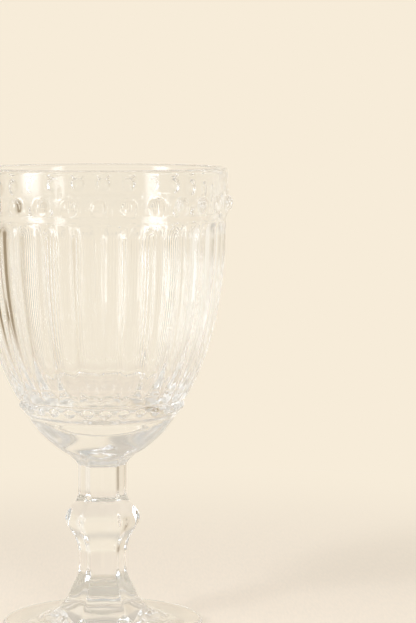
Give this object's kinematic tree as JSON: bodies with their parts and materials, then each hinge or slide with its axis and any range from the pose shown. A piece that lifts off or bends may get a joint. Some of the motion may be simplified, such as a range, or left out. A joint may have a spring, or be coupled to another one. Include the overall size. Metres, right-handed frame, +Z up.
{
  "type": "stemmed glass",
  "caption": "Clear pressed-glass goblet: beaded band under a plain rim, arch-topped flutes, six-sided stem with a knop, round foot.",
  "frame": {"origin": "middle of the foot's underside, on the surface that the glass stands on", "axes": "+Z up along the stem to the rim; a flat of the six-sided stem and a bead of each row face -Y"},
  "size_m": [0.09, 0.09, 0.1589],
  "materials": {
    "bowl_glass": "clear pressed soda-lime glass, fire-polished",
    "stem_glass": "clear pressed soda-lime glass, fire-polished",
    "foot_glass": "clear pressed soda-lime glass, fire-polished"
  },
  "bodies": {
    "root": {"bowl": "bowl_glass", "stem": "stem_glass", "foot": "foot_glass"}
  },
  "joints": []
}
